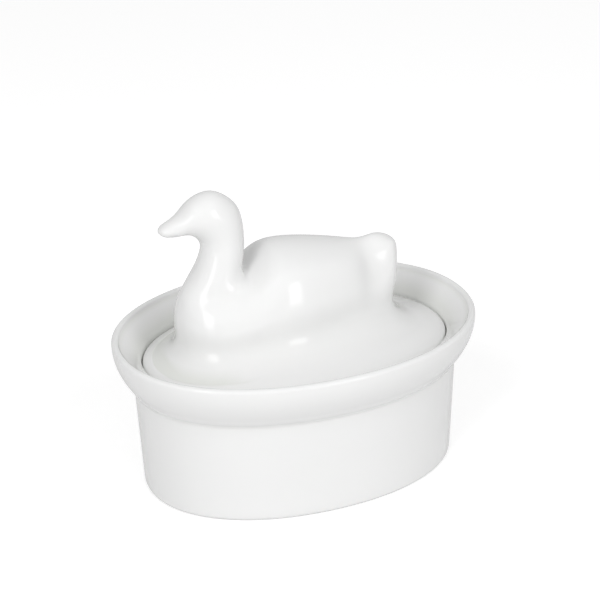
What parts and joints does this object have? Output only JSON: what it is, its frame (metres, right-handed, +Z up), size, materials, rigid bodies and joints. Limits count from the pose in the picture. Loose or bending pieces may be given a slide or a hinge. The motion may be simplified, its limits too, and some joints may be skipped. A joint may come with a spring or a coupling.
{
  "type": "covered casserole dish",
  "caption": "Small oval porcelain casserole dish with a thick collar and a recessed lid, cast hollow in one with a swimming duck that serves as its handle.",
  "frame": {"origin": "centre of the dish's foot, in the plane that it stands on", "axes": "+Z up; -X is the way the duck faces, along the dish's length; +Y across the dish"},
  "size_m": [0.165, 0.12, 0.1397],
  "materials": {
    "dish_glaze": "clear gloss glaze over white porcelain, foot ring bare",
    "lid_glaze": "clear gloss glaze over white porcelain, seat bare"
  },
  "bodies": {
    "dish": {"dish": "dish_glaze"},
    "lid": {"duck_lid": "lid_glaze"}
  },
  "joints": [
    {"name": "lid_lift", "type": "slide", "parent": "dish", "child": "lid", "axis": [0, 0, 1], "range_m": [0, 0.1]}
  ]
}
